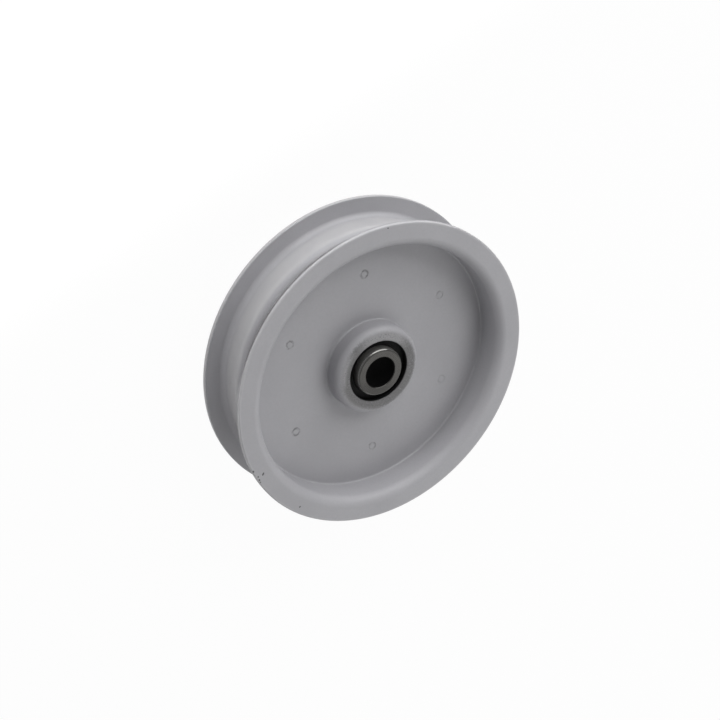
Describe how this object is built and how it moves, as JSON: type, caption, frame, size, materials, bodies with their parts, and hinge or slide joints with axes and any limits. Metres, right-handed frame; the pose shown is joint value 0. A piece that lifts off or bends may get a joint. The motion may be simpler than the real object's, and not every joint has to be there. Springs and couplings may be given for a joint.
{
  "type": "flat-belt idler pulley",
  "caption": "Flat-belt idler pulley of pressed steel: welded dish halves with flanges and a smooth belt face, round a sealed ball bearing with a long inner ring.",
  "frame": {"origin": "on the axis in the joint plane of the halves, at the middle of the bore", "axes": "+Z along the axis out of the front face, +X through a spot-weld mark"},
  "size_m": [0.127, 0.127, 0.0294],
  "materials": {
    "grey_paint": "satin grey paint",
    "ring_steel": "ground bearing steel",
    "ball_steel": "polished bearing steel",
    "cage_steel": "pressed steel strip",
    "seal_rubber": "black moulded rubber"
  },
  "bodies": {
    "inner_race": {"inner_ring": "ring_steel"},
    "sheave": {"front_half": "grey_paint", "rear_half": "grey_paint", "outer_ring": "ring_steel", "front_seal": "seal_rubber", "rear_seal": "seal_rubber"},
    "cage": {"cage_front": "cage_steel", "cage_rear": "cage_steel", "cage_rivets": "cage_steel"},
    "ball_1": {"ball_1": "ball_steel"},
    "ball_2": {"ball_2": "ball_steel"},
    "ball_3": {"ball_3": "ball_steel"},
    "ball_4": {"ball_4": "ball_steel"},
    "ball_5": {"ball_5": "ball_steel"},
    "ball_6": {"ball_6": "ball_steel"},
    "ball_7": {"ball_7": "ball_steel"},
    "ball_8": {"ball_8": "ball_steel"}
  },
  "joints": [
    {"name": "sheave_spin", "type": "hinge", "parent": "inner_race", "child": "sheave", "pos_m": [0, 0, 0], "axis": [0, 0, 1], "continuous": true},
    {"name": "cage_orbit", "type": "hinge", "parent": "inner_race", "child": "cage", "pos_m": [0, 0, 0], "axis": [0, 0, 1], "continuous": true},
    {"name": "ball_1_spin", "type": "hinge", "parent": "cage", "child": "ball_1", "pos_m": [0.01215, 0, 0], "axis": [0, 0, 1], "continuous": true},
    {"name": "ball_2_spin", "type": "hinge", "parent": "cage", "child": "ball_2", "pos_m": [0.00859, 0.00859, 0], "axis": [0, 0, 1], "continuous": true},
    {"name": "ball_3_spin", "type": "hinge", "parent": "cage", "child": "ball_3", "pos_m": [0, 0.01215, 0], "axis": [0, 0, 1], "continuous": true},
    {"name": "ball_4_spin", "type": "hinge", "parent": "cage", "child": "ball_4", "pos_m": [-0.00859, 0.00859, 0], "axis": [0, 0, 1], "continuous": true},
    {"name": "ball_5_spin", "type": "hinge", "parent": "cage", "child": "ball_5", "pos_m": [-0.01215, 0, 0], "axis": [0, 0, 1], "continuous": true},
    {"name": "ball_6_spin", "type": "hinge", "parent": "cage", "child": "ball_6", "pos_m": [-0.00859, -0.00859, 0], "axis": [0, 0, 1], "continuous": true},
    {"name": "ball_7_spin", "type": "hinge", "parent": "cage", "child": "ball_7", "pos_m": [0, -0.01215, 0], "axis": [0, 0, 1], "continuous": true},
    {"name": "ball_8_spin", "type": "hinge", "parent": "cage", "child": "ball_8", "pos_m": [0.00859, -0.00859, 0], "axis": [0, 0, 1], "continuous": true}
  ],
  "couplings": [
    {"joint": "cage_orbit", "follows": "sheave_spin", "ratio": 0.61434},
    {"joint": "ball_1_spin", "follows": "sheave_spin", "ratio": 2.0721},
    {"joint": "ball_2_spin", "follows": "sheave_spin", "ratio": 2.0721},
    {"joint": "ball_3_spin", "follows": "sheave_spin", "ratio": 2.0721},
    {"joint": "ball_4_spin", "follows": "sheave_spin", "ratio": 2.0721},
    {"joint": "ball_5_spin", "follows": "sheave_spin", "ratio": 2.0721},
    {"joint": "ball_6_spin", "follows": "sheave_spin", "ratio": 2.0721},
    {"joint": "ball_7_spin", "follows": "sheave_spin", "ratio": 2.0721},
    {"joint": "ball_8_spin", "follows": "sheave_spin", "ratio": 2.0721}
  ]
}
